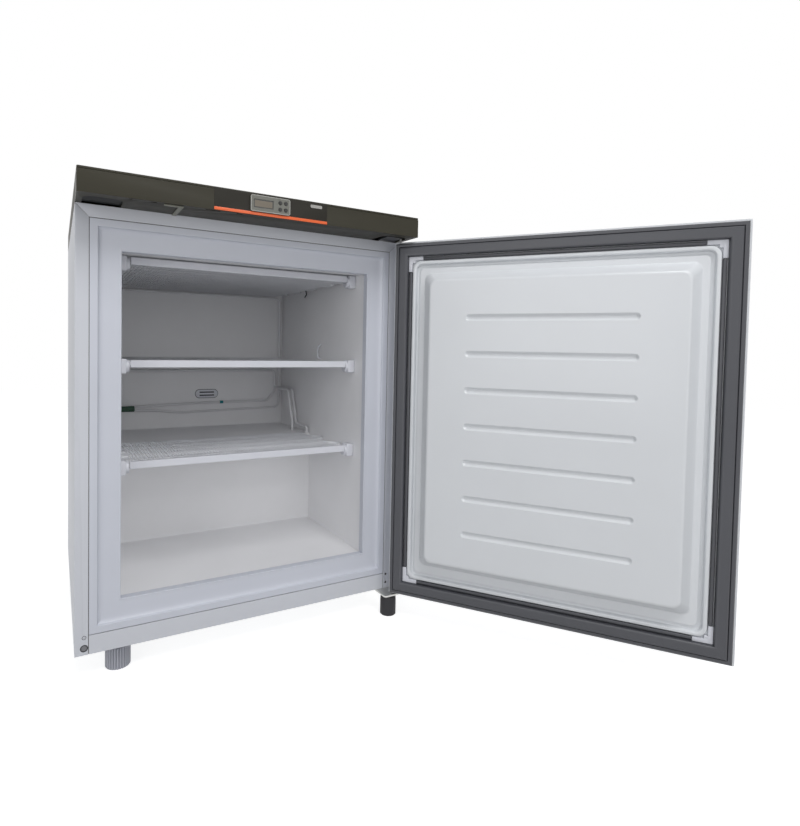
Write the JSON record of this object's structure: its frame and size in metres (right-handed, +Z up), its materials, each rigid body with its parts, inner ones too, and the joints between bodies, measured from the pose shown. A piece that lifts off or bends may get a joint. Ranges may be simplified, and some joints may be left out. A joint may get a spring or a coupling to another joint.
{
  "type": "medical freezer",
  "caption": "Undercounter laboratory freezer with its white insulated door standing open, refrigerated wire-on-tube shelves, dark lid and a small controller in the fascia.",
  "frame": {"origin": "on the floor under the middle of the cabinet's footprint (door and fascia not counted)", "axes": "+X to the viewer's right, the front faces -Y, +Z up"},
  "size_m": [0.9796, 1.0688, 0.81],
  "materials": {
    "white_paint": "satin powder coat",
    "galvanised": "galvanised sheet",
    "zinc_steel": "bright zinc",
    "black_paint": "semi-gloss black paint",
    "foam": "rigid polyurethane foam",
    "liner_white": "satin moulded plastic",
    "breaker_white": "satin extruded plastic",
    "lid_grey": "fine-grained dark grey plastic",
    "overlay_dark": "satin film",
    "orange": "gloss orange",
    "bezel_grey": "fine matte",
    "display_glass": "clear window",
    "badge_pale": "matte",
    "clip_beige": "matte",
    "black_plastic": "matte",
    "foot_grey": "matte",
    "rubber_black": "matte",
    "shelf_white": "white epoxy coat",
    "sleeve_green": "matte",
    "copper": "drawn copper tube",
    "gasket_grey": "matte soft vinyl",
    "bush_white": "acetal"
  },
  "bodies": {
    "cabinet": {"left_side_panel": "white_paint", "right_side_panel": "white_paint", "top_panel": "white_paint", "back_panel": "galvanised", "base_pan": "galvanised", "bottom_front_rail": "white_paint", "insulation_foam": "foam", "inner_liner": "liner_white", "breaker_left": "breaker_white", "breaker_right": "breaker_white", "breaker_bottom": "breaker_white", "breaker_top": "breaker_white", "top_cover": "lid_grey", "fascia_panel": "lid_grey", "left_hinge_cover": "lid_grey", "fascia_clip": "clip_beige", "control_overlay": "overlay_dark", "orange_trim_strip": "orange", "controller_bezel": "bezel_grey", "controller_body": "black_plastic", "display_window": "display_glass", "blank_badge": "badge_pale", "lower_hinge_bracket": "zinc_steel", "upper_hinge_bracket": "zinc_steel", "lower_hinge_pin": "zinc_steel", "upper_hinge_pin": "zinc_steel", "hinge_screws": "zinc_steel", "flange_plugs": "zinc_steel", "foot_nut": "zinc_steel", "rear_feet": "rubber_black", "evaporator_shelf_lower": "shelf_white", "evaporator_shelf_middle": "shelf_white", "evaporator_shelf_upper": "shelf_white", "shelf_trim_bars": "liner_white", "shelf_clips": "liner_white", "riser_tubes": "shelf_white", "pipe_sleeve": "sleeve_green", "sensor_cover": "liner_white", "compressor": "black_paint", "compressor_plate": "galvanised", "compressor_grommets": "rubber_black", "terminal_cover": "black_plastic", "condenser": "black_paint", "bay_pipes": "copper", "cable_gland": "black_plastic"},
    "door": {"door_skin": "white_paint", "door_foam": "foam", "door_liner": "liner_white", "door_gasket": "gasket_grey", "corner_blocks": "liner_white", "door_end_caps": "liner_white", "grip_cup": "liner_white", "door_bushes": "bush_white"},
    "button_lamp_cap": {"button_lamp": "bezel_grey"},
    "button_set_cap": {"button_set": "bezel_grey"},
    "button_down_cap": {"button_down": "bezel_grey"},
    "button_up_cap": {"button_up": "bezel_grey"},
    "left_foot": {"front_left_foot": "foot_grey"},
    "right_foot": {"front_right_foot": "rubber_black"}
  },
  "joints": [
    {"name": "door_hinge", "type": "hinge", "parent": "cabinet", "child": "door", "pos_m": [0.292, -0.294, 0.4], "axis": [0, 0, -1], "range_deg": [0, 126.5]},
    {"name": "button_lamp_press", "type": "slide", "parent": "cabinet", "child": "button_lamp_cap", "axis": [0, 1, 0], "range_m": [0, 0.001], "stiffness_N_per_m": 500, "springref_m": -0.0004},
    {"name": "button_set_press", "type": "slide", "parent": "cabinet", "child": "button_set_cap", "axis": [0, 1, 0], "range_m": [0, 0.001], "stiffness_N_per_m": 500, "springref_m": -0.0004},
    {"name": "button_down_press", "type": "slide", "parent": "cabinet", "child": "button_down_cap", "axis": [0, 1, 0], "range_m": [0, 0.001], "stiffness_N_per_m": 500, "springref_m": -0.0004},
    {"name": "button_up_press", "type": "slide", "parent": "cabinet", "child": "button_up_cap", "axis": [0, 1, 0], "range_m": [0, 0.001], "stiffness_N_per_m": 500, "springref_m": -0.0004},
    {"name": "left_foot_thread", "type": "hinge", "parent": "cabinet", "child": "left_foot", "pos_m": [-0.232, -0.233, 0.03], "axis": [0, 0, 1], "continuous": true},
    {"name": "right_foot_thread", "type": "hinge", "parent": "cabinet", "child": "right_foot", "pos_m": [0.283, -0.286, 0.02], "axis": [0, 0, 1], "continuous": true}
  ]
}
